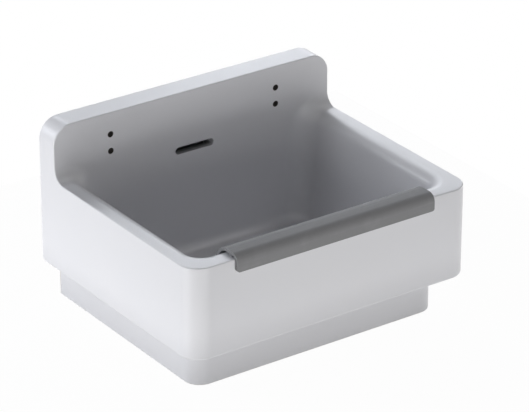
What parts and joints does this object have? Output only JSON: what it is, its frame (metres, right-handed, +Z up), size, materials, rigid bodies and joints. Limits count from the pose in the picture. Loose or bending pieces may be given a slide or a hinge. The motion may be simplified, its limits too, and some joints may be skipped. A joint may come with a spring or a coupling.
{
  "type": "wall-hung service sink",
  "caption": "Wall-hung rectangular mop sink with a raised splashback, stepped apron, overflow slot, bottom waste with lift-out strainer, and a push-on edge guard over the front rim.",
  "frame": {"origin": "on the wall's face, at the middle of the rectangle of the wall screws that hold the two hangers", "axes": "+X to the right along the splashback as seen from the user, +Y back into the wall, +Z up"},
  "size_m": [0.5, 0.4105, 0.345],
  "materials": {
    "glazed_body": "white gloss glaze",
    "guard_plastic": "grey, satin",
    "waste_metal": "polished",
    "strainer_metal": "brushed",
    "seal_rubber": "black, dull",
    "slip_plastic": "natural, smooth",
    "nut_brass": "machined",
    "hanger_steel": "zinc-grey coat",
    "pad_rubber": "black, dull"
  },
  "bodies": {
    "sink": {"basin": "glazed_body", "waste_body": "waste_metal", "waste_upper_seal": "seal_rubber", "waste_lower_seal": "seal_rubber", "slip_washer": "slip_plastic", "back_nut": "nut_brass", "hanger_left": "hanger_steel", "hanger_right": "hanger_steel", "hanger_pad_left": "pad_rubber", "hanger_pad_right": "pad_rubber"},
    "guard": {"edge_guard": "guard_plastic"},
    "strainer": {"strainer_plate": "strainer_metal", "strainer_knob": "strainer_metal"}
  },
  "joints": [
    {"name": "guard_lift", "type": "slide", "parent": "sink", "child": "guard", "axis": [0, 0, 1], "range_m": [0, 0.08]},
    {"name": "strainer_lift", "type": "slide", "parent": "sink", "child": "strainer", "axis": [0, 0, 1], "range_m": [0, 0.1]}
  ]
}
